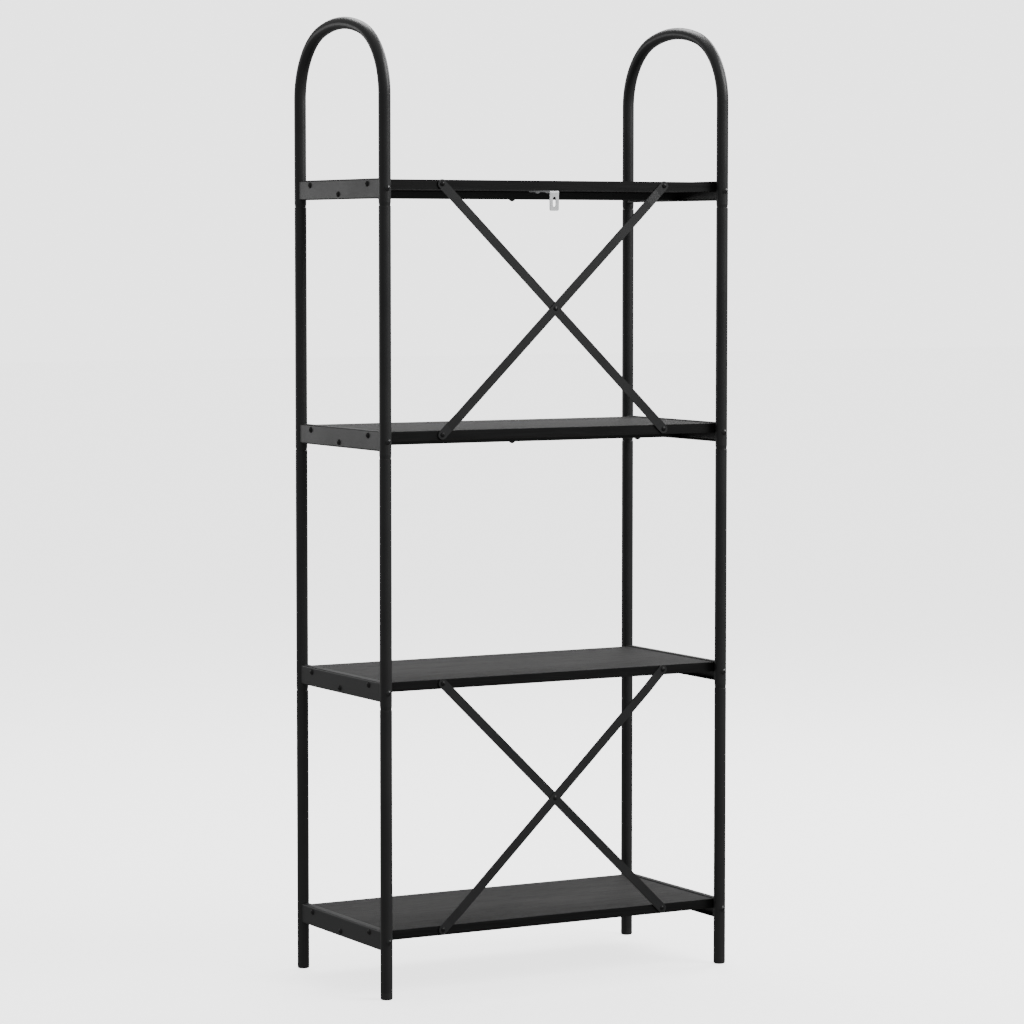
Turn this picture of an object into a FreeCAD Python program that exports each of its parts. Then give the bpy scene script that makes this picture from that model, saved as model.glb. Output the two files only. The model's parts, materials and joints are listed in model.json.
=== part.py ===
import FreeCAD, Part
import os
from collections import namedtuple
from math import atan2, cos, degrees, hypot, radians, sin

from FreeCAD import Rotation, Vector

# Open bookcase with arched tube sides. Millimetres, +Z up, front faces -Y.
# The origin is on the floor, midway between the posts.

# ---- driving dimensions -------------------------------------------------
POST_SPACING_X = 608.0        # between the centres of the left and right posts
POST_SPACING_Y = 294.0        # between the centres of the front and rear posts
SHELF_COUNT = 4
SHELF_PITCH = 387.0           # from one shelf to the next, and the length of a section
LOWEST_RAIL_Z = 75.5          # floor to the underside of the lowest rails
SEAM_BELOW_RAIL = 11.5        # a section's seam, below the underside of its rails
ARCH_STRAIGHT = 170.0         # top seam to the springline of the arch

# ---- round tube ---------------------------------------------------------
TUBE_D = 19.0
TUBE_WALL = 1.2
RIM_CHAMFER = 0.4             # outer edge of each tube's upper rim
NECK_HEIGHT = 6.0             # cone from the full diameter down to the shoulder
NECK_SHOULDER = 0.5           # width of the ring that stands on the rim below
SPIGOT_LENGTH = 35.0          # swaged end inside the tube below
SPIGOT_CLEARANCE = 0.1        # between spigot and bore, all round
ARCH_CORNER_RADIUS = 109.0    # centreline of the two corner bends
ARCH_CORNER_SWEEP = 73.0      # degrees of each corner bend; the crown arc does the rest

# ---- foot caps ----------------------------------------------------------
FOOT_HEIGHT = 11.0
FOOT_ROUND = 2.5
FOOT_PLUG_LENGTH = 18.0
FOOT_PLUG_CLEARANCE = 0.05

# ---- side rails: a folded channel, open towards the boards --------------
RAIL_SHEET = 1.5
RAIL_FLANGE = 12.0            # whole width of the flanges, web included
RAIL_INNER_BEND = 1.0
RAIL_OUTSET = 6.0             # outer face beyond the plane of the post centres
END_PLATE = 3.0               # threaded plate that closes each end of a rail
END_PLATE_SETBACK = 1.0       # plate's edge behind the flanges' free edges

# ---- boards and support bars --------------------------------------------
BOARD_THICKNESS = 15.0
BOARD_TO_POST = 0.5           # gap between a board's long edge and the posts
BOARD_NOTCH_CLEARANCE = 0.5   # round an end plate and its screw, at a board's corners
EDGE_SCREW_BELOW_TOP = 6.5    # screws in a board's edges, below its top
BAR_SIZE = 13.0               # square tube
BAR_WALL = 1.0
BAR_ROUND = 1.5
BAR_PLUG_LENGTH = 12.0

# ---- back braces --------------------------------------------------------
BRACE_WIDTH = 14.5
BRACE_THICKNESS = 2.0
BRACE_END_X = 200.0           # screw from the middle of the bookcase
BRACED_BAYS = {"lower": 0, "upper": SHELF_COUNT - 2}
CRANK_FROM_END = 16.0         # from an end screw to the step that lifts a brace over the other
CRANK_RAMP = 24.0

# ---- wall bracket -------------------------------------------------------
BRACKET_WIDTH = 16.0
BRACKET_THICKNESS = 2.0
BRACKET_BEND = 1.5
BRACKET_DROP = 32.0
BRACKET_REACH = 70.0
BRACKET_CORNER = 3.0
SLOT_WIDTH = 5.5
SLOT_LENGTH = 16.0            # over its round ends
SLOT_TO_END = 6.0
BRACKET_SCREW_FROM_REAR = (22.0, 54.0)

# ---- fasteners ----------------------------------------------------------
ScrewSize = namedtuple("ScrewSize", "head_d head_h shank_d length")
Screw = namedtuple("Screw", "seat direction size")
BOARD_END_SCREW_Y = 100.0     # from the middle of the rail, both ways
UNDER_BAR_SCREW_X = 235.0     # from the middle of the bar, both ways
SHANK_D = 4.0
POST_SHANK_D = 5.0
SCREW_BITE = 9.0              # into a board, past everything that the screw holds
END_SCREW_LENGTH = 22.0
POST_SCREW_PAST_PLATE = 2.0
HOLE_CLEARANCE = 0.2          # around a shank where it passes through sheet or tube
SCREW_TIP = 2.0
RECESS_SPAN = 4.2
RECESS_WIDTH = 1.0
RECESS_DEPTH = 1.2
RIVET_HEAD_D = 8.0
RIVET_HEAD_H = 1.8
RIVET_TAIL_D = 6.5
RIVET_TAIL_H = 1.2

# ---- sizes that follow from the ones above ------------------------------
TUBE_R = TUBE_D / 2
BORE_R = TUBE_R - TUBE_WALL
SPIGOT_R = BORE_R - SPIGOT_CLEARANCE
SPIGOT_BORE_R = SPIGOT_R - TUBE_WALL
POST_X = POST_SPACING_X / 2
POST_Y = POST_SPACING_Y / 2
RAIL_HEIGHT = BAR_SIZE + BOARD_THICKNESS + 2 * RAIL_SHEET
WEB_OUTER_X = POST_X + RAIL_OUTSET
WEB_INNER_X = WEB_OUTER_X - RAIL_SHEET
PANEL_END_X = WEB_INNER_X - RAIL_INNER_BEND
FLANGE_EDGE_X = WEB_OUTER_X - RAIL_FLANGE
PLATE_EDGE_X = FLANGE_EDGE_X + END_PLATE_SETBACK
PLATE_INNER_Y = POST_Y - TUBE_R - END_PLATE
BOARD_EDGE_Y = POST_Y - TUBE_R - BOARD_TO_POST
BOARD_NOTCH_X = PLATE_EDGE_X - BOARD_NOTCH_CLEARANCE
BOARD_NOTCH_Y = PLATE_INNER_Y - POST_SCREW_PAST_PLATE - BOARD_NOTCH_CLEARANCE
BRACE_REAR_Y = BOARD_EDGE_Y + BRACE_THICKNESS

END_PAN = ScrewSize(10.0, 3.0, SHANK_D, END_SCREW_LENGTH)
POST_PAN = ScrewSize(9.0, 2.8, POST_SHANK_D, TUBE_D + END_PLATE + POST_SCREW_PAST_PLATE)
UNDER_PAN = ScrewSize(10.0, 3.0, SHANK_D, BAR_SIZE + SCREW_BITE)
BRACE_PAN = ScrewSize(8.0, 2.4, SHANK_D, BRACE_THICKNESS + SCREW_BITE)
BRACKET_PAN = ScrewSize(8.0, 2.4, SHANK_D, BRACKET_THICKNESS + SCREW_BITE)

SIDES = {"left": -1, "right": 1}
ROWS = {"front": -1, "rear": 1}
SECTIONS = ["lower", "middle", "upper"]


def rail_bottom(shelf):
    """Underside of the rails of a shelf; shelf 0 is the lowest."""
    return LOWEST_RAIL_Z + shelf * SHELF_PITCH


def seam_z(shelf):
    """Seam below a shelf's rails, where its section stands on the one below."""
    return rail_bottom(shelf) - SEAM_BELOW_RAIL


def bar_bottom(shelf):
    return rail_bottom(shelf) + RAIL_SHEET


def board_bottom(shelf):
    return bar_bottom(shelf) + BAR_SIZE


def edge_screw_z(shelf):
    """Height of the screws in the edges of a board."""
    return board_bottom(shelf) + BOARD_THICKNESS - EDGE_SCREW_BELOW_TOP


def rail_middle(shelf):
    return rail_bottom(shelf) + RAIL_HEIGHT / 2


TOP_SHELF = SHELF_COUNT - 1
SPRINGLINE_Z = seam_z(TOP_SHELF) + ARCH_STRAIGHT


# ---- helpers ------------------------------------------------------------
def box(x_pair, y_pair, z_pair):
    """Box between two coordinates on each axis, given in either order."""
    low = Vector(min(x_pair), min(y_pair), min(z_pair))
    high = Vector(max(x_pair), max(y_pair), max(z_pair))
    size = high - low
    return Part.makeBox(size.x, size.y, size.z, low)


def turned(profile, x, y):
    """Solid of revolution about a vertical axis; profile is a list of (radius, z)."""
    points = [Vector(radius, 0, z) for radius, z in profile]
    face = Part.Face(Part.makePolygon(points + points[:1]))
    solid = face.revolve(Vector(0, 0, 0), Vector(0, 0, 1), 360)
    return solid.translated(Vector(x, y, 0))


def round_edges(solid, radius, wanted):
    """Fillet the edges for which wanted(start, end) is true."""
    edges = [e for e in solid.Edges if wanted(e.Vertexes[0].Point, e.Vertexes[-1].Point)]
    return solid.makeFillet(radius, edges)


def lies_at(axis, value):
    """Test for edges whose both ends have the given coordinate."""
    return lambda start, end: all(abs(getattr(p, axis) - value) < 1e-6 for p in (start, end))


def along(axis):
    """Test for straight edges parallel to an axis."""
    others = [a for a in "xyz" if a != axis]
    return lambda start, end: all(abs(getattr(start, a) - getattr(end, a)) < 1e-6 for a in others)


def both(first, second):
    return lambda start, end: first(start, end) and second(start, end)


def export(node, shape):
    shape.exportStep("parts/%s.step" % node)


# ---- screws -------------------------------------------------------------
def screw_solid(screw):
    """Pan-head screw with a cross recess; its head rests on the seat."""
    size = screw.size
    head_r = size.head_d / 2
    shank_r = size.shank_d / 2
    crown_r = (head_r ** 2 + size.head_h ** 2) / (2 * size.head_h)
    head = Part.makeSphere(crown_r, Vector(0, 0, size.head_h - crown_r))
    head = head.common(Part.makeCylinder(head_r, size.head_h))
    shank = Part.makeCylinder(shank_r, size.length - SCREW_TIP, Vector(0, 0, SCREW_TIP - size.length))
    tip = Part.makeCone(shank_r / 4, shank_r, SCREW_TIP, Vector(0, 0, -size.length))
    solid = head.fuse([shank, tip])
    half_span = RECESS_SPAN / 2
    half_width = RECESS_WIDTH / 2
    depth = (size.head_h - RECESS_DEPTH, size.head_h)
    solid = solid.cut(box((-half_span, half_span), (-half_width, half_width), depth))
    solid = solid.cut(box((-half_width, half_width), (-half_span, half_span), depth))
    solid = solid.removeSplitter()
    solid.Placement = FreeCAD.Placement(screw.seat, Rotation(Vector(0, 0, -1), screw.direction))
    return solid


def shank_hole(screw, clearance=0.0):
    """Cylinder that a screw's shank needs, from its seat to its tip."""
    radius = screw.size.shank_d / 2 + clearance
    return Part.makeCylinder(radius, screw.size.length, screw.seat, screw.direction)


def drilled(solid, screws, clearance=0.0):
    """Cut the holes of the screws that pass through a solid."""
    return solid.cut([shank_hole(s, clearance) for s in screws]) if screws else solid


def board_end_screws(shelf, side):
    z = edge_screw_z(shelf)
    inward = Vector(-side, 0, 0)
    return [Screw(Vector(side * WEB_OUTER_X, y, z), inward, END_PAN)
            for y in (-BOARD_END_SCREW_Y, BOARD_END_SCREW_Y)]


def bar_end_screw(shelf, side):
    z = bar_bottom(shelf) + BAR_SIZE / 2
    return Screw(Vector(side * WEB_OUTER_X, 0, z), Vector(-side, 0, 0), END_PAN)


def under_bar_screws(shelf):
    z = bar_bottom(shelf)
    return [Screw(Vector(x, 0, z), Vector(0, 0, 1), UNDER_PAN)
            for x in (-UNDER_BAR_SCREW_X, 0, UNDER_BAR_SCREW_X)]


def post_screw(shelf, side, row):
    """Machine screw through a post into the end plate of a rail."""
    seat = Vector(side * POST_X, row * (POST_Y + TUBE_R), rail_middle(shelf))
    return Screw(seat, Vector(0, -row, 0), POST_PAN)


def brace_screws(shelf):
    """Screws of the brace ends on a board's rear edge, if a braced bay meets it."""
    if not any(shelf in (bay, bay + 1) for bay in BRACED_BAYS.values()):
        return []
    return [Screw(Vector(x, BRACE_REAR_Y, edge_screw_z(shelf)), Vector(0, -1, 0), BRACE_PAN)
            for x in (-BRACE_END_X, BRACE_END_X)]


def bracket_screws():
    z = board_bottom(TOP_SHELF) - BRACKET_THICKNESS
    return [Screw(Vector(0, BOARD_EDGE_Y - back, z), Vector(0, 0, 1), BRACKET_PAN)
            for back in BRACKET_SCREW_FROM_REAR]


# ---- tubes --------------------------------------------------------------
def neck_profile(seam, top):
    """Tube with a swaged neck: it plugs into the tube below and stands on its rim."""
    return [
        (SPIGOT_BORE_R, seam - SPIGOT_LENGTH),
        (SPIGOT_R, seam - SPIGOT_LENGTH),
        (SPIGOT_R, seam),
        (SPIGOT_R + NECK_SHOULDER, seam),
        (TUBE_R, seam + NECK_HEIGHT),
        (TUBE_R, top - RIM_CHAMFER),
        (TUBE_R - RIM_CHAMFER, top),
        (BORE_R, top),
        (BORE_R, seam + NECK_HEIGHT),
        (SPIGOT_BORE_R, seam),
    ]


def foot_profile(top):
    """Plain tube that stands on a foot cap."""
    return [
        (BORE_R, FOOT_HEIGHT),
        (TUBE_R, FOOT_HEIGHT),
        (TUBE_R, top - RIM_CHAMFER),
        (TUBE_R - RIM_CHAMFER, top),
        (BORE_R, top),
    ]


def post(section, side, row):
    """One post: section 0 stands on its foot, the others plug into the one below."""
    top = seam_z(section + 1)
    profile = foot_profile(top) if section == 0 else neck_profile(seam_z(section), top)
    tube = turned(profile, side * POST_X, row * POST_Y)
    return drilled(tube, [post_screw(section, side, row)], HOLE_CLEARANCE)


def swept_ring(ring, centre_y, centre_z, angle):
    """Bend a ring-shaped face about an axis along X."""
    return ring.revolve(Vector(0, centre_y, centre_z), Vector(-1, 0, 0), angle)


def tube_ring(x, y, z):
    """Cross-section of the tube, square to Z."""
    centre = Vector(x, y, z)
    outer = Part.Wire(Part.makeCircle(TUBE_R, centre))
    inner = Part.Wire(Part.makeCircle(BORE_R, centre))
    return Part.Face([outer, inner])


def arch_bends(x):
    """The bent part of the arch: a corner arc, a wide crown arc and a corner arc."""
    sweep = radians(ARCH_CORNER_SWEEP)
    corner_y = POST_Y - ARCH_CORNER_RADIUS
    crown_radius = ARCH_CORNER_RADIUS + corner_y / cos(sweep)
    crown_centre_z = SPRINGLINE_Z - sin(sweep) * (crown_radius - ARCH_CORNER_RADIUS)
    start = tube_ring(x, -POST_Y, SPRINGLINE_Z)
    first = swept_ring(start, -corner_y, SPRINGLINE_Z, ARCH_CORNER_SWEEP)
    crown_start = start.copy()
    crown_start.rotate(Vector(0, -corner_y, SPRINGLINE_Z), Vector(-1, 0, 0), ARCH_CORNER_SWEEP)
    crown = swept_ring(crown_start, 0, crown_centre_z, 180 - 2 * ARCH_CORNER_SWEEP)
    last = first.mirror(Vector(0, 0, 0), Vector(0, 1, 0))
    return [first, crown, last]


def arch_leg(side, row):
    """Straight leg of the arch, from its spigot to the springline."""
    seam = seam_z(TOP_SHELF)
    profile = neck_profile(seam, SPRINGLINE_Z)
    rim = profile.index((TUBE_R - RIM_CHAMFER, SPRINGLINE_Z))
    profile[rim - 1:rim + 1] = [(TUBE_R, SPRINGLINE_Z)]
    return turned(profile, side * POST_X, row * POST_Y)


def arch_tube(side):
    bends = arch_bends(side * POST_X)
    legs = [arch_leg(side, row) for row in ROWS.values()]
    tube = legs[0].fuse(bends + legs[1:]).removeSplitter()
    return drilled(tube, [post_screw(TOP_SHELF, side, row) for row in ROWS.values()], HOLE_CLEARANCE)


def foot_cap(side, row):
    """Plastic cap: a rounded foot of the tube's diameter and a plug in its bore."""
    foot = Part.makeCylinder(TUBE_R, FOOT_HEIGHT)
    foot = round_edges(foot, FOOT_ROUND, lies_at("z", 0.0))
    plug_r = BORE_R - FOOT_PLUG_CLEARANCE
    plug = Part.makeCylinder(plug_r, FOOT_PLUG_LENGTH, Vector(0, 0, FOOT_HEIGHT))
    cap = foot.fuse(plug).removeSplitter()
    return cap.translated(Vector(side * POST_X, row * POST_Y, 0))


# ---- rails, boards and bars ---------------------------------------------
def side_rail(shelf, side):
    """Folded channel between the posts; its ends have threaded plates and fit the tubes."""
    bottom = rail_bottom(shelf)
    outer_x = side * WEB_OUTER_X
    y_pair = (-POST_Y, POST_Y)
    outer = box((outer_x, outer_x - side * RAIL_FLANGE), y_pair, (bottom, bottom + RAIL_HEIGHT))
    outer = round_edges(outer, RAIL_INNER_BEND + RAIL_SHEET, both(along("y"), lies_at("x", outer_x)))
    inner_x = side * WEB_INNER_X
    inner_z = (bottom + RAIL_SHEET, bottom + RAIL_HEIGHT - RAIL_SHEET)
    hollow = box((inner_x, inner_x - side * RAIL_FLANGE), y_pair, inner_z)
    hollow = round_edges(hollow, RAIL_INNER_BEND, both(along("y"), lies_at("x", inner_x)))
    posts = [Part.makeCylinder(TUBE_R, RAIL_HEIGHT, Vector(side * POST_X, row * POST_Y, bottom))
             for row in ROWS.values()]
    plates = [box((inner_x, side * PLATE_EDGE_X), (row * PLATE_INNER_Y, row * POST_Y), inner_z)
              for row in ROWS.values()]
    rail = outer.cut(hollow).fuse(plates).cut(posts).removeSplitter()
    rail = drilled(rail, [post_screw(shelf, side, row) for row in ROWS.values()])
    return drilled(rail, board_end_screws(shelf, side) + [bar_end_screw(shelf, side)], HOLE_CLEARANCE)


def shelf_board(shelf):
    """Board with its corners notched for the rails' end plates."""
    z_pair = (board_bottom(shelf), board_bottom(shelf) + BOARD_THICKNESS)
    board = box((-PANEL_END_X, PANEL_END_X), (-BOARD_EDGE_Y, BOARD_EDGE_Y), z_pair)
    corners = [(side, row) for side in SIDES.values() for row in ROWS.values()]
    board = board.cut([box((side * BOARD_NOTCH_X, side * WEB_OUTER_X),
                           (row * BOARD_NOTCH_Y, row * POST_Y), z_pair)
                       for side, row in corners])
    screws = under_bar_screws(shelf) + brace_screws(shelf)
    for side in SIDES.values():
        screws += board_end_screws(shelf, side)
    if shelf == TOP_SHELF:
        screws += bracket_screws()
    return drilled(board, screws)


def support_bar(shelf):
    """Square tube under the middle of a board, standing on the rails' lower flanges."""
    bottom = bar_bottom(shelf)
    half = BAR_SIZE / 2
    bore = half - BAR_WALL
    x_pair = (-PANEL_END_X, PANEL_END_X)
    bar = box(x_pair, (-half, half), (bottom, bottom + BAR_SIZE))
    bar = round_edges(bar, BAR_ROUND, along("x"))
    bar = bar.cut(box(x_pair, (-bore, bore), (bottom + BAR_WALL, bottom + BAR_SIZE - BAR_WALL)))
    return drilled(bar, under_bar_screws(shelf), HOLE_CLEARANCE)


def bar_plug(shelf, side):
    """Plug flush with the end of a support bar, for the rail's screw to bite in."""
    bottom = bar_bottom(shelf)
    bore = BAR_SIZE / 2 - BAR_WALL
    end = side * PANEL_END_X
    plug = box((end, end - side * BAR_PLUG_LENGTH), (-bore, bore),
               (bottom + BAR_WALL, bottom + BAR_SIZE - BAR_WALL))
    return drilled(plug, [bar_end_screw(shelf, side)])


# ---- braces -------------------------------------------------------------
def brace_outline(half_length):
    """Flat bar with round ends about its screw holes, as a tall prism along X."""
    half = BRACE_WIDTH / 2
    depth = 4 * BRACE_THICKNESS
    body = box((-half_length, half_length), (0, depth), (-half, half))
    ends = [Part.makeCylinder(half, depth, Vector(x, 0, 0), Vector(0, 1, 0))
            for x in (-half_length, half_length)]
    return body.fuse(ends).removeSplitter()


def brace_side_view(half_length, cranked):
    """The bar seen from its edge; a cranked bar lies behind the other one between its ends."""
    far = half_length + BRACE_WIDTH
    tab = half_length - CRANK_FROM_END
    raised = tab - CRANK_RAMP
    front = [(-far, 0), (far, 0)]
    if cranked:
        step = BRACE_THICKNESS
        front[1:1] = [(-tab, 0), (-raised, step), (raised, step), (tab, 0)]
    rear = [(s, y + BRACE_THICKNESS) for s, y in reversed(front)]
    points = [Vector(s, y, -BRACE_WIDTH) for s, y in front + rear]
    face = Part.Face(Part.makePolygon(points + points[:1]))
    return face.extrude(Vector(0, 0, 2 * BRACE_WIDTH))


def crossing_point(bay):
    middle = (edge_screw_z(bay) + edge_screw_z(bay + 1)) / 2
    return Vector(0, BOARD_EDGE_Y, middle)


def crossing_rivet(bay):
    """Rivet that joins the two braces of a bay: domed at the back, flat at the front."""
    crown_r = ((RIVET_HEAD_D / 2) ** 2 + RIVET_HEAD_H ** 2) / (2 * RIVET_HEAD_H)
    stack = 2 * BRACE_THICKNESS
    head = Part.makeSphere(crown_r, Vector(0, 0, stack + RIVET_HEAD_H - crown_r))
    head = head.common(Part.makeCylinder(RIVET_HEAD_D / 2, RIVET_HEAD_H, Vector(0, 0, stack)))
    shank = Part.makeCylinder(SHANK_D / 2, stack)
    tail = Part.makeCylinder(RIVET_TAIL_D / 2, RIVET_TAIL_H, Vector(0, 0, -RIVET_TAIL_H))
    rivet = head.fuse([shank, tail]).removeSplitter()
    rivet.Placement = FreeCAD.Placement(crossing_point(bay), Rotation(Vector(0, 0, 1), Vector(0, 1, 0)))
    return rivet


def brace(bay, rise):
    """Diagonal of a bay; rise is +1 when it climbs to the right. The other one is cranked."""
    rise_z = (edge_screw_z(bay + 1) - edge_screw_z(bay)) / 2
    half_length = hypot(BRACE_END_X, rise_z)
    bar = brace_outline(half_length).common(brace_side_view(half_length, rise < 0))
    rivet_hole = Part.makeCylinder(SHANK_D / 2, 3 * BRACE_THICKNESS, Vector(0, 0, 0), Vector(0, 1, 0))
    bar = bar.cut(rivet_hole).removeSplitter()
    tilt = -rise * degrees(atan2(rise_z, BRACE_END_X))
    bar.Placement = FreeCAD.Placement(crossing_point(bay), Rotation(Vector(0, 1, 0), tilt))
    return drilled(bar, brace_screws(bay) + brace_screws(bay + 1), HOLE_CLEARANCE)


# ---- wall bracket -------------------------------------------------------
def wall_bracket():
    """Angle bracket: one leg under the top board, one leg down with a slot."""
    top = board_bottom(TOP_SHELF)
    half = BRACKET_WIDTH / 2
    rear = BOARD_EDGE_Y
    x_pair = (-half, half)
    block = box(x_pair, (rear, rear - BRACKET_REACH), (top, top - BRACKET_DROP))
    block = round_edges(block, BRACKET_BEND + BRACKET_THICKNESS,
                        both(lies_at("y", rear), lies_at("z", top)))
    inner_y = rear - BRACKET_THICKNESS
    inner_z = top - BRACKET_THICKNESS
    inside = box(x_pair, (inner_y, inner_y - BRACKET_REACH), (inner_z, inner_z - BRACKET_DROP))
    inside = round_edges(inside, BRACKET_BEND, both(lies_at("y", inner_y), lies_at("z", inner_z)))
    bracket = block.cut(inside)
    low = top - BRACKET_DROP
    bracket = round_edges(bracket, BRACKET_CORNER, both(along("y"), lies_at("z", low)))
    front = rear - BRACKET_REACH
    bracket = round_edges(bracket, BRACKET_CORNER, both(along("z"), lies_at("y", front)))
    slot_r = SLOT_WIDTH / 2
    slot_low = low + SLOT_TO_END + slot_r
    slot_high = low + SLOT_TO_END + SLOT_LENGTH - slot_r
    slot = box((-slot_r, slot_r), (rear, rear - 2 * BRACKET_THICKNESS), (slot_low, slot_high))
    round_ends = [Part.makeCylinder(slot_r, 2 * BRACKET_THICKNESS, Vector(0, rear, z), Vector(0, -1, 0))
                  for z in (slot_low, slot_high)]
    return drilled(bracket.cut([slot] + round_ends), bracket_screws(), HOLE_CLEARANCE)


# ---- the whole bookcase -------------------------------------------------
def side_frames():
    nodes = {}
    for side_name, side in SIDES.items():
        nodes["%s_arch_tube" % side_name] = arch_tube(side)
        for row_name, row in ROWS.items():
            for index, section in enumerate(SECTIONS):
                nodes["%s_%s_post_%s" % (side_name, row_name, section)] = post(index, side, row)
            nodes["%s_%s_foot_cap" % (side_name, row_name)] = foot_cap(side, row)
        for shelf in range(SHELF_COUNT):
            nodes["%s_side_rail_%d" % (side_name, shelf + 1)] = side_rail(shelf, side)
    return nodes


def shelves():
    nodes = {}
    for shelf in range(SHELF_COUNT):
        nodes["shelf_board_%d" % (shelf + 1)] = shelf_board(shelf)
        nodes["support_bar_%d" % (shelf + 1)] = support_bar(shelf)
    return nodes


def back():
    nodes = {}
    for bay_name, bay in BRACED_BAYS.items():
        nodes["%s_brace_rising_right" % bay_name] = brace(bay, 1)
        nodes["%s_brace_rising_left" % bay_name] = brace(bay, -1)
    nodes["brace_crossing_rivets"] = Part.makeCompound([crossing_rivet(b) for b in BRACED_BAYS.values()])
    nodes["wall_bracket"] = wall_bracket()
    return nodes


def fasteners():
    """Identical fasteners share a node, each one a solid of its own."""
    shelf_range = range(SHELF_COUNT)
    places = [(shelf, side) for shelf in shelf_range for side in SIDES.values()]
    screws = {
        "board_end_screws": [s for shelf, side in places for s in board_end_screws(shelf, side)],
        "support_bar_end_screws": [bar_end_screw(shelf, side) for shelf, side in places],
        "support_bar_underside_screws": [s for shelf in shelf_range for s in under_bar_screws(shelf)],
        "post_screws": [post_screw(shelf, side, row) for shelf, side in places for row in ROWS.values()],
        "brace_end_screws": [s for shelf in shelf_range for s in brace_screws(shelf)],
        "wall_bracket_screws": bracket_screws(),
    }
    nodes = {name: Part.makeCompound([screw_solid(s) for s in group]) for name, group in screws.items()}
    nodes["support_bar_end_plugs"] = Part.makeCompound([bar_plug(shelf, side) for shelf, side in places])
    return nodes


def main():
    os.makedirs("parts", exist_ok=True)
    nodes = {}
    for group in (side_frames(), shelves(), back(), fasteners()):
        nodes.update(group)
    for node, shape in nodes.items():
        export(node, shape)
    whole = Part.makeCompound(list(nodes.values()))
    size = whole.optimalBoundingBox(False, False)
    print("%d nodes, %d solids, box %.1f x %.1f x %.1f mm" % (
        len(nodes), len(whole.Solids), size.XLength, size.YLength, size.ZLength))


main()
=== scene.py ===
"""Looks of the open bookcase: procedural materials, pale floor and soft studio light."""
import json
import math

import bpy
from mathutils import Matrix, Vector

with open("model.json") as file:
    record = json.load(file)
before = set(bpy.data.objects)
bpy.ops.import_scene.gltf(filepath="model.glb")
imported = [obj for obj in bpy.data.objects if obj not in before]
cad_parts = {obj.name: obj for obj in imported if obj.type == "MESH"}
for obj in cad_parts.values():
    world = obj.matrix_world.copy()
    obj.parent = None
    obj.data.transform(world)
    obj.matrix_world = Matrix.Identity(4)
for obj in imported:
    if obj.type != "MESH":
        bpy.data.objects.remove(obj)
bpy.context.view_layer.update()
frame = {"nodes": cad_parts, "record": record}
NODES = frame["nodes"]
SLOTS = {part["node"]: part["material_slot"] for part in frame["record"]["subparts"]}
SHELVES = range(1, 5)

# ---- camera: the view is from behind, from a little under the top shelf -
CAMERA_AZIMUTH = 150.9         # degrees, 0 looks along +Y
CAMERA_ELEVATION = 4.065
CAMERA_DISTANCE = 6.012
CAMERA_AIM = Vector((0, 0, 0.7373))
CAMERA_LENS = 131.43           # mm
SENSOR_WIDTH = 36              # mm

# ---- studio -------------------------------------------------------------
FLOOR_SIZE = 60
FLOOR_GLOW = 2.45              # makes the far floor as bright as the surroundings above it
SEEN_SKY = 2.9                 # the surroundings as the camera sees them
LOW_SKY = 0.26                 # the surroundings as the object sees them, from below
HIGH_SKY = 0.50                # and from above
BACKDROP = 0.30                # and on the side away from the camera
BACKDROP_TILT = 10             # degrees, elevation of the backdrop's middle

SOFTBOXES = [
    # name, azimuth, elevation, distance, (width, height), watts, height of the point it looks at
    ("key", 225, 38, 3.6, (1.6, 2.4), 110, 0.8),
    ("side", 29, 1, 3.4, (1.6, 0.8), 8, 0.95),
    ("rim", 288, 34, 3.6, (1.6, 2.0), 70, 0.8),
    ("top", 342, 50, 3.6, (2.4, 1.8), 110, 1.2),
]


def towards(azimuth, elevation):
    """Unit vector from the object to something at that azimuth and elevation, in degrees."""
    a, e = math.radians(azimuth), math.radians(elevation)
    return Vector((math.sin(a) * math.cos(e), -math.cos(a) * math.cos(e), math.sin(e)))


def link(name, data):
    obj = bpy.data.objects.new(name, data)
    bpy.context.scene.collection.objects.link(obj)
    return obj


def look_from(obj, azimuth, elevation, distance, aim):
    """Place a camera or light round the aim point, looking at it."""
    back = towards(azimuth, elevation)
    obj.location = aim + back * distance
    obj.rotation_mode = "QUATERNION"
    obj.rotation_quaternion = (-back).to_track_quat("-Z", "Y")


def make_camera():
    data = bpy.data.cameras.new("camera")
    data.sensor_width = SENSOR_WIDTH
    data.lens = CAMERA_LENS
    camera = link("camera", data)
    look_from(camera, CAMERA_AZIMUTH, CAMERA_ELEVATION, CAMERA_DISTANCE, CAMERA_AIM)
    bpy.context.scene.camera = camera


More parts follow.
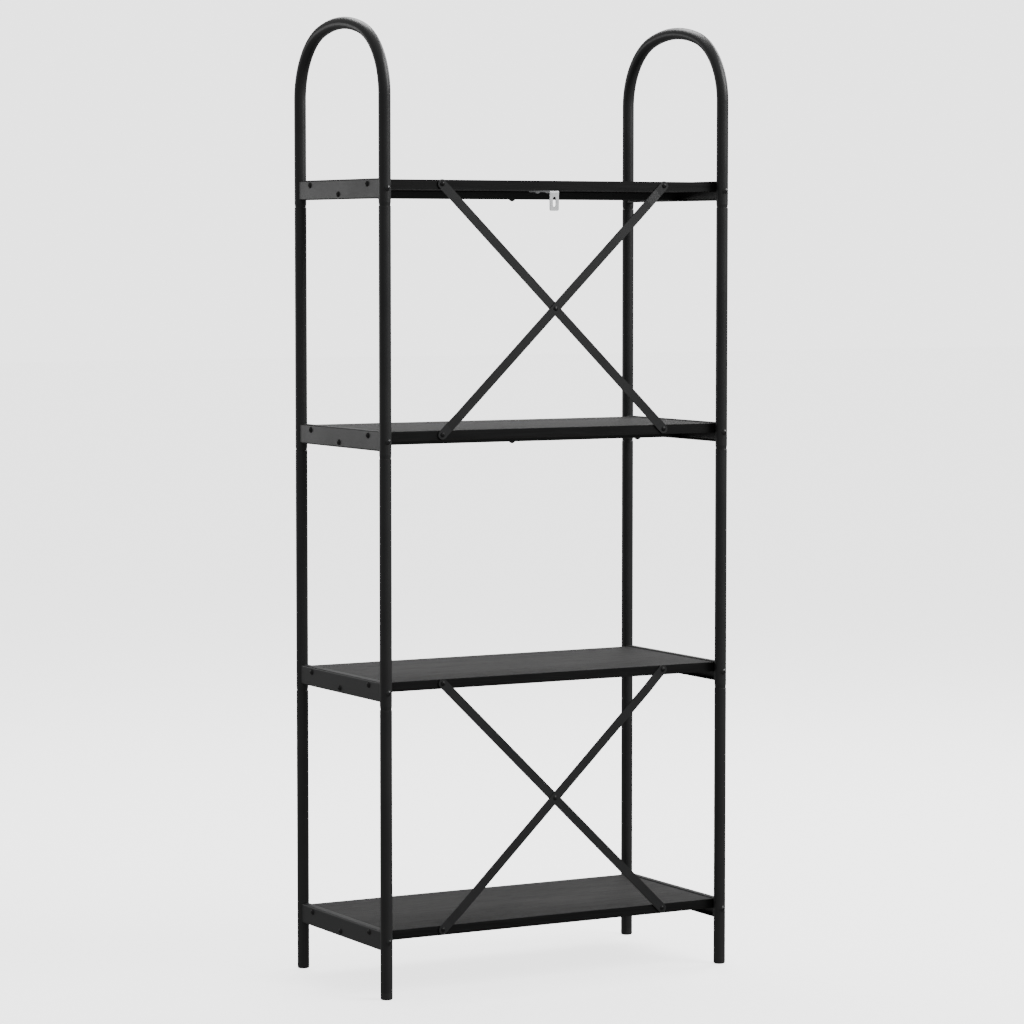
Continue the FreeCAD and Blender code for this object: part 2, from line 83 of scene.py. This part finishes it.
# ---- node trees ---------------------------------------------------------
class Graph:
    """A node tree with short calls to add nodes and join them."""

    def __init__(self, tree):
        self.tree = tree
        tree.nodes.clear()

    def node(self, kind, settings=None, **inputs):
        """Add a node. Inputs are values or other nodes' sockets, by name with _ for a space."""
        made = self.tree.nodes.new(kind)
        for key, value in (settings or {}).items():
            setattr(made, key, value)
        for key, value in inputs.items():
            self.join(value, made.inputs[key.replace("_", " ")])
        return made

    def join(self, value, socket):
        if isinstance(value, bpy.types.NodeSocket):
            self.tree.links.new(value, socket)
        else:
            socket.default_value = value

    def math(self, operation, first, second=0.5):
        made = self.node("ShaderNodeMath", {"operation": operation})
        self.join(first, made.inputs[0])
        self.join(second, made.inputs[1])
        return made.outputs[0]

    def remap(self, value, low, high, to_low, to_high):
        """Clamped linear map from one range to another."""
        made = self.node("ShaderNodeMapRange", Value=value)
        for name, number in (("From Min", low), ("From Max", high), ("To Min", to_low), ("To Max", to_high)):
            made.inputs[name].default_value = number
        return made.outputs["Result"]

    def place(self, scale):
        """Position on the object, with each axis scaled."""
        where = self.node("ShaderNodeTexCoord")
        return self.node("ShaderNodeMapping", Vector=where.outputs["Object"], Scale=scale).outputs[0]

    def noise(self, scale, detail=3.0, roughness=0.5, vector=None):
        """Smooth noise; scale is in bumps per metre unless a scaled vector is given."""
        vector = vector or self.place((1, 1, 1))
        made = self.node("ShaderNodeTexNoise", Vector=vector, Scale=scale, Detail=detail, Roughness=roughness)
        return made.outputs[0]

    def mix(self, share, first, second):
        """Colour between two colours."""
        made = self.node("ShaderNodeMix", {"data_type": "RGBA"})
        self.join(share, made.inputs[0])
        self.join(first, made.inputs[6])
        self.join(second, made.inputs[7])
        return made.outputs[2]

    def edge_mask(self, radius):
        """1 along the solid's sharp edges and 0 on its faces."""
        bevel = self.node("ShaderNodeBevel", {"samples": 6}, Radius=radius)
        flat = self.node("ShaderNodeNewGeometry")
        made = self.node("ShaderNodeVectorMath", {"operation": "DOT_PRODUCT"})
        self.join(bevel.outputs[0], made.inputs[0])
        self.join(flat.outputs["Normal"], made.inputs[1])
        return self.remap(made.outputs["Value"], 0.93, 0.78, 0.0, 1.0)

    def bump(self, height, distance, strength, normal=None):
        """Normal of a relief of that depth in metres, on top of another normal if one is given."""
        made = self.node("ShaderNodeBump", Height=height, Distance=distance, Strength=strength)
        if normal is not None:
            self.join(normal, made.inputs["Normal"])
        return made.outputs[0]

    def surface(self, **inputs):
        shader = self.node("ShaderNodeBsdfPrincipled", **inputs)
        self.node("ShaderNodeOutputMaterial", Surface=shader.outputs[0])


def grey(level, warmth=0.0):
    """Linear grey, a little warmer or cooler."""
    return (level * (1 + warmth), level, level * (1 - warmth), 1.0)


def new_material(name):
    material = bpy.data.materials.new(name)
    material.use_nodes = True
    return material, Graph(material.node_tree)


# ---- materials ----------------------------------------------------------
def powder_coat():
    """Black powder coat on steel: fine orange peel and grit, worn paler in patches along the edges."""
    material, g = new_material("black_powder_coat")
    dark, light = grey(0.022, -0.02), grey(0.028, -0.01)
    speck, worn = grey(0.036), grey(0.07, 0.02)
    peel_depth, grit_depth = 0.00012, 0.00003

    cloud = g.noise(14.0, 4.0)
    peel = g.noise(620.0, 2.0, 0.55)
    grit = g.noise(2400.0, 1.0)
    patches = g.remap(g.noise(90.0, 5.0, 0.7), 0.38, 0.62, 0.25, 1.0)
    edge = g.math("MULTIPLY", g.edge_mask(0.0007), patches)

    body = g.mix(g.remap(cloud, 0.35, 0.65, 0.0, 1.0), dark, light)
    body = g.mix(g.remap(grit, 0.52, 0.70, 0.0, 0.55), body, speck)
    colour = g.mix(g.math("MULTIPLY", edge, 0.5), body, worn)
    rough = g.math("ADD", g.remap(cloud, 0.3, 0.7, 0.36, 0.42), g.remap(peel, 0.3, 0.7, -0.03, 0.04))
    rough = g.math("SUBTRACT", rough, g.math("MULTIPLY", edge, 0.05))
    relief = g.bump(peel, peel_depth, 0.5, g.bump(grit, grit_depth, 0.5))
    g.surface(Base_Color=colour, Roughness=rough, Specular_IOR_Level=0.38, Normal=relief)
    return material


def wood_grain(seed):
    """Black wood-grain laminate; grain runs along X, with embossed pores and plain edge bands."""
    material, g = new_material("black_wood_grain_%d" % seed)
    ring_dark, ring_light = grey(0.014), grey(0.032, 0.01)
    streak_tone, pore_tone = grey(0.055, 0.015), grey(0.008)
    band_dark, band_light = grey(0.006), grey(0.011)
    rubbed = grey(0.03)
    grain_drift = 0.055
    pore_depth = 0.00007

    where = g.node("ShaderNodeTexCoord").outputs["Object"]
    offset = (seed * 3.7, seed * 1.3, seed * 0.9)

    def stretched(vector, scale, detail, roughness):
        """Noise of this board, with its own scale along each axis."""
        placed = g.node("ShaderNodeMapping", Vector=vector, Scale=scale, Location=offset)
        return g.noise(1.0, detail, roughness, placed.outputs[0])

    drift = stretched(where, (1.6, 5.0, 5.0), 2.0, 0.5)
    bent = g.node("ShaderNodeVectorMath", {"operation": "MULTIPLY_ADD"})
    g.join(g.node("ShaderNodeCombineXYZ", Y=drift, Z=drift).outputs[0], bent.inputs[0])
    g.join((0.0, grain_drift, grain_drift), bent.inputs[1])
    g.join(where, bent.inputs[2])
    along = bent.outputs[0]

    rings = stretched(along, (2.2, 75.0, 75.0), 5.0, 0.62)
    streaks = stretched(along, (7.0, 330.0, 330.0), 4.0, 0.6)
    pores = stretched(along, (24.0, 1300.0, 1300.0), 2.0, 0.5)
    fibres = stretched(along, (9.0, 200.0, 420.0), 3.0, 0.6)

    top = g.mix(g.remap(rings, 0.36, 0.66, 0.0, 1.0), ring_dark, ring_light)
    top = g.mix(g.remap(streaks, 0.46, 0.70, 0.0, 0.75), top, streak_tone)
    top = g.mix(g.remap(pores, 0.56, 0.72, 0.0, 0.8), top, pore_tone)
    band = g.mix(g.remap(fibres, 0.4, 0.65, 0.0, 1.0), band_dark, band_light)
    normal = g.node("ShaderNodeSeparateXYZ", Vector=g.node("ShaderNodeNewGeometry").outputs["Normal"])
    upright = g.remap(g.math("ABSOLUTE", normal.outputs["Z"]), 0.5, 0.6, 1.0, 0.0)
    body = g.mix(upright, top, band)
    colour = g.mix(g.math("MULTIPLY", g.edge_mask(0.0005), 0.25), body, rubbed)

    rough = g.math("ADD", g.remap(streaks, 0.4, 0.7, 0.52, 0.62), g.remap(pores, 0.5, 0.7, 0.0, 0.12))
    raised = g.math("MULTIPLY", streaks, 0.5)
    relief = g.bump(g.math("SUBTRACT", raised, g.remap(pores, 0.54, 0.70, 0.0, 1.0)), pore_depth, 0.7)
    g.surface(Base_Color=colour, Roughness=rough, Specular_IOR_Level=0.16, Normal=relief)
    return material


def plated(name, level, rough, metallic, spread=0.2):
    """Plated steel: soft mottling, fine brushing and brighter rubbed edges."""
    material, g = new_material(name)
    dark, light = grey(level * 0.72, -0.02), grey(level * 1.12, -0.01)
    rubbed = grey(min(0.9, level * 1.6 + 0.05))

    cells = g.node("ShaderNodeTexVoronoi", {"feature": "F1"}, Vector=g.place((1, 1, 1)), Scale=260.0)
    mottle = g.remap(cells.outputs["Color"], 0.0, 1.0, -spread, spread)
    brushing = g.noise(1.0, 3.0, 0.6, g.place((900.0, 900.0, 90.0)))
    tone = g.math("ADD", mottle, g.remap(brushing, 0.3, 0.7, -spread, spread))
    body = g.mix(g.math("ADD", 0.5, tone), dark, light)
    colour = g.mix(g.math("MULTIPLY", g.edge_mask(0.0004), 0.6), body, rubbed)
    roughness = g.remap(brushing, 0.3, 0.7, rough - 0.05, rough + 0.07)
    relief = g.bump(brushing, 0.00002, 0.5)
    g.surface(Base_Color=colour, Metallic=metallic, Roughness=roughness, Normal=relief)
    return material


def moulded(name, level, rough):
    """Moulded plastic with a spark-eroded texture."""
    material, g = new_material(name)
    dark, light, rubbed = grey(level * 0.8), grey(level * 1.25), grey(level * 3)

    erosion = g.noise(1500.0, 3.0, 0.6)
    scuff = g.noise(60.0, 5.0, 0.7)
    body = g.mix(g.remap(scuff, 0.4, 0.65, 0.0, 1.0), dark, light)
    colour = g.mix(g.math("MULTIPLY", g.edge_mask(0.0006), 0.4), body, rubbed)
    roughness = g.remap(erosion, 0.3, 0.7, rough - 0.06, rough + 0.08)
    relief = g.bump(erosion, 0.00005, 0.6)
    g.surface(Base_Color=colour, Roughness=roughness, Specular_IOR_Level=0.4, Normal=relief)
    return material


def make_materials():
    """One material for each slot, and one for each board so that no two have the same grain."""
    slots = {
        "frame_steel": powder_coat(),
        "fastener_black": plated("black_zinc_screw", level=0.008, rough=0.42, metallic=0.3, spread=0.22),
        "bolt_black": plated("black_nickel_bolt", level=0.05, rough=0.2, metallic=0.7),
        "bracket_zinc": plated("bright_zinc", level=0.88, rough=0.42, metallic=0.3),
        "foot_plastic": moulded("foot_cap_plastic", level=0.032, rough=0.46),
        "plug_plastic": moulded("plug_plastic", level=0.02, rough=0.5),
    }
    boards = {"shelf_board_%d" % shelf: wood_grain(shelf) for shelf in SHELVES}
    return slots, boards


def dress(obj, material):
    obj.data.materials.clear()
    obj.data.materials.append(material)


def dress_cad_nodes():
    slots, boards = make_materials()
    for name, obj in NODES.items():
        dress(obj, boards.get(name) or slots[SLOTS[name]])


# ---- floor, lights and surroundings -------------------------------------
def make_floor():
    """Pale floor that only the camera sees, so that it doesn't light the object from below."""
    bpy.ops.mesh.primitive_plane_add(size=FLOOR_SIZE)
    floor = bpy.context.object
    floor.name = "studio_floor"
    floor.visible_diffuse = False
    floor.visible_glossy = False
    material, g = new_material("pale_floor")
    tone = g.mix(g.noise(0.7, 2.0), grey(0.86), grey(0.9))
    g.surface(Base_Color=tone, Roughness=0.7, Specular_IOR_Level=0.2,
              Emission_Color=grey(1.0), Emission_Strength=FLOOR_GLOW)
    dress(floor, material)


def softbox(name, azimuth, elevation, distance, size, watts, aim_height):
    data = bpy.data.lights.new(name, "AREA")
    data.shape = "RECTANGLE"
    data.size, data.size_y = size
    data.energy = watts
    light = link(name, data)
    light.visible_camera = False
    look_from(light, azimuth, elevation, distance, Vector((0, 0, aim_height)))


def make_world():
    """Pale surroundings: even to the camera, and dimmer to the object, more so from below."""
    world = bpy.data.worlds.new("studio")
    bpy.context.scene.world = world
    world.use_nodes = True
    g = Graph(world.node_tree)
    direction = g.node("ShaderNodeTexCoord").outputs["Generated"]
    height = g.node("ShaderNodeSeparateXYZ", Vector=direction).outputs["Z"]
    facing = g.node("ShaderNodeVectorMath", {"operation": "DOT_PRODUCT"})
    g.join(direction, facing.inputs[0])
    g.join(towards(CAMERA_AZIMUTH + 180, BACKDROP_TILT), facing.inputs[1])
    away = g.remap(facing.outputs["Value"], 0.0, 1.0, 0.0, 1.0)
    backdrop = g.math("MULTIPLY", away, g.remap(height, -0.20, 0.02, 0.0, 1.0))
    dome = g.mix(g.remap(height, -0.3, 0.9, 0.0, 1.0), grey(LOW_SKY), grey(HIGH_SKY))
    felt = g.mix(backdrop, dome, grey(BACKDROP))
    seen = g.node("ShaderNodeLightPath").outputs["Is Camera Ray"]
    sky = g.node("ShaderNodeBackground", Color=g.mix(seen, felt, grey(SEEN_SKY)))
    g.node("ShaderNodeOutputWorld", Surface=sky.outputs[0])


make_camera()
make_floor()
make_world()
for box in SOFTBOXES:
    softbox(*box)
dress_cad_nodes()
